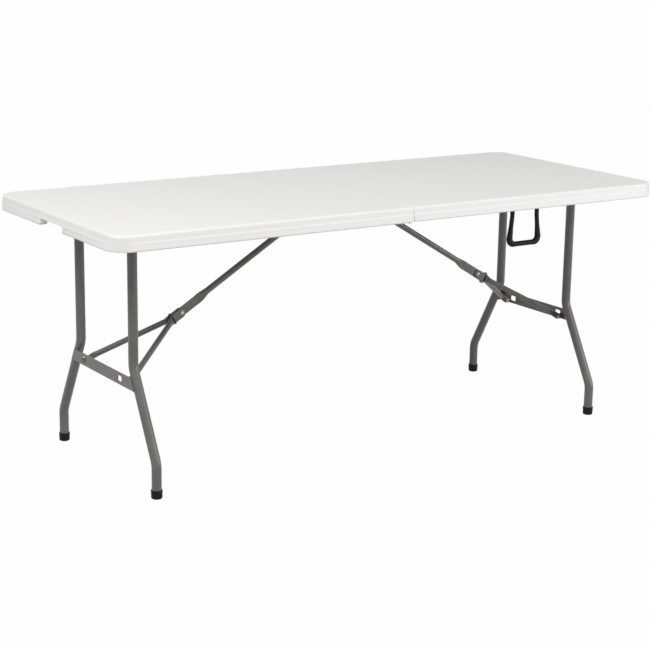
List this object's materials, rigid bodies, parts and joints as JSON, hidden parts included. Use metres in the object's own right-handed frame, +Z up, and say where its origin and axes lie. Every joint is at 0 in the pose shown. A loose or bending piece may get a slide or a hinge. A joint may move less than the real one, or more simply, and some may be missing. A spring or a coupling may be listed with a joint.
{
  "type": "event table",
  "caption": "Long folding event table with a moulded top that folds in half, splayed steel tube legs on folding stays and a carry handle.",
  "frame": {"origin": "on the floor, under the middle of the table top", "axes": "+X along the length towards the half with the carry handle, +Y from the front long edge to the rear one, +Z up"},
  "size_m": [1.829, 0.761, 0.7335],
  "materials": {
    "white_plastic": "fine granite grain, satin",
    "grey_steel": "powder coat, satin",
    "zinc_steel": "zinc plate",
    "black_plastic": "moulded, satin",
    "dark_wire": "black, satin"
  },
  "bodies": {
    "left_half": {"left_top": "white_plastic", "left_front_rail": "grey_steel", "left_rear_rail": "grey_steel", "left_front_rail_screw_1": "zinc_steel", "left_front_rail_screw_2": "zinc_steel", "left_rear_rail_screw_1": "zinc_steel", "left_rear_rail_screw_2": "zinc_steel", "left_front_hinge_leaf": "grey_steel", "left_rear_hinge_leaf": "grey_steel", "front_hinge_pin": "zinc_steel", "rear_hinge_pin": "zinc_steel", "left_stay_hanger": "grey_steel", "left_stay_hanger_pin": "zinc_steel"},
    "right_half": {"right_top": "white_plastic", "right_front_rail": "grey_steel", "right_rear_rail": "grey_steel", "right_front_rail_screw_1": "zinc_steel", "right_front_rail_screw_2": "zinc_steel", "right_rear_rail_screw_1": "zinc_steel", "right_rear_rail_screw_2": "zinc_steel", "right_front_hinge_leaf": "grey_steel", "right_rear_hinge_leaf": "grey_steel", "right_stay_hanger": "grey_steel", "right_stay_hanger_pin": "zinc_steel", "left_handle_clip": "black_plastic", "right_handle_clip": "black_plastic"},
    "left_leg_set": {"left_leg_axle": "grey_steel", "left_near_axle_bush": "black_plastic", "left_far_axle_bush": "black_plastic", "left_near_leg": "grey_steel", "left_far_leg": "grey_steel", "left_near_foot_cap": "black_plastic", "left_far_foot_cap": "black_plastic", "left_crossbar": "grey_steel", "left_near_arm_pin": "zinc_steel", "left_far_arm_pin": "zinc_steel"},
    "right_leg_set": {"right_leg_axle": "grey_steel", "right_near_axle_bush": "black_plastic", "right_far_axle_bush": "black_plastic", "right_near_leg": "grey_steel", "right_far_leg": "grey_steel", "right_near_foot_cap": "black_plastic", "right_far_foot_cap": "black_plastic", "right_crossbar": "grey_steel", "right_near_arm_pin": "zinc_steel", "right_far_arm_pin": "zinc_steel"},
    "left_arms": {"left_near_arm": "grey_steel", "left_far_arm": "grey_steel", "left_near_joint_rivet": "zinc_steel", "left_far_joint_rivet": "zinc_steel"},
    "right_arms": {"right_near_arm": "grey_steel", "right_far_arm": "grey_steel", "right_near_joint_rivet": "zinc_steel", "right_far_joint_rivet": "zinc_steel"},
    "left_link": {"left_upper_link": "grey_steel"},
    "right_link": {"right_upper_link": "grey_steel"},
    "left_ring": {"left_lock_ring": "dark_wire"},
    "right_ring": {"right_lock_ring": "dark_wire"},
    "handle": {"carry_handle": "black_plastic"}
  },
  "joints": [
    {"name": "center_fold", "type": "hinge", "parent": "left_half", "child": "right_half", "pos_m": [0, 0, 0.6905], "axis": [0, 1, 0], "range_deg": [0, 90]},
    {"name": "left_leg_fold", "type": "hinge", "parent": "left_half", "child": "left_leg_set", "pos_m": [-0.7579, 0, 0.7042], "axis": [0, -1, 0], "range_deg": [0, 90]},
    {"name": "right_leg_fold", "type": "hinge", "parent": "right_half", "child": "right_leg_set", "pos_m": [0.7579, 0, 0.7042], "axis": [0, 1, 0], "range_deg": [0, 90]},
    {"name": "left_arm_fold", "type": "hinge", "parent": "left_leg_set", "child": "left_arms", "pos_m": [-0.7579, 0, 0.2815], "axis": [0, -1, 0], "range_deg": [0, 59.3]},
    {"name": "right_arm_fold", "type": "hinge", "parent": "right_leg_set", "child": "right_arms", "pos_m": [0.7579, 0, 0.2815], "axis": [0, 1, 0], "range_deg": [0, 59.3]},
    {"name": "left_link_fold", "type": "hinge", "parent": "left_half", "child": "left_link", "pos_m": [-0.049, 0, 0.7042], "axis": [0, 1, 0], "range_deg": [0, 30.9]},
    {"name": "right_link_fold", "type": "hinge", "parent": "right_half", "child": "right_link", "pos_m": [0.049, 0, 0.7042], "axis": [0, -1, 0], "range_deg": [0, 30.9]},
    {"name": "left_ring_slide", "type": "slide", "parent": "left_link", "child": "left_ring", "axis": [0.8589, 0, 0.5121], "range_m": [0, 0.04]},
    {"name": "right_ring_slide", "type": "slide", "parent": "right_link", "child": "right_ring", "axis": [-0.8589, 0, 0.5121], "range_m": [0, 0.04]},
    {"name": "handle_swing", "type": "hinge", "parent": "right_half", "child": "handle", "pos_m": [0.4455, -0.315, 0.6925], "axis": [-1, 0, 0], "range_deg": [-90, 60]}
  ],
  "couplings": [
    {"joint": "left_arm_fold", "follows": "left_leg_fold", "ratio": 0.6577},
    {"joint": "left_link_fold", "follows": "left_leg_fold", "ratio": 0.3423},
    {"joint": "right_arm_fold", "follows": "right_leg_fold", "ratio": 0.6577},
    {"joint": "right_link_fold", "follows": "right_leg_fold", "ratio": 0.3423}
  ]
}
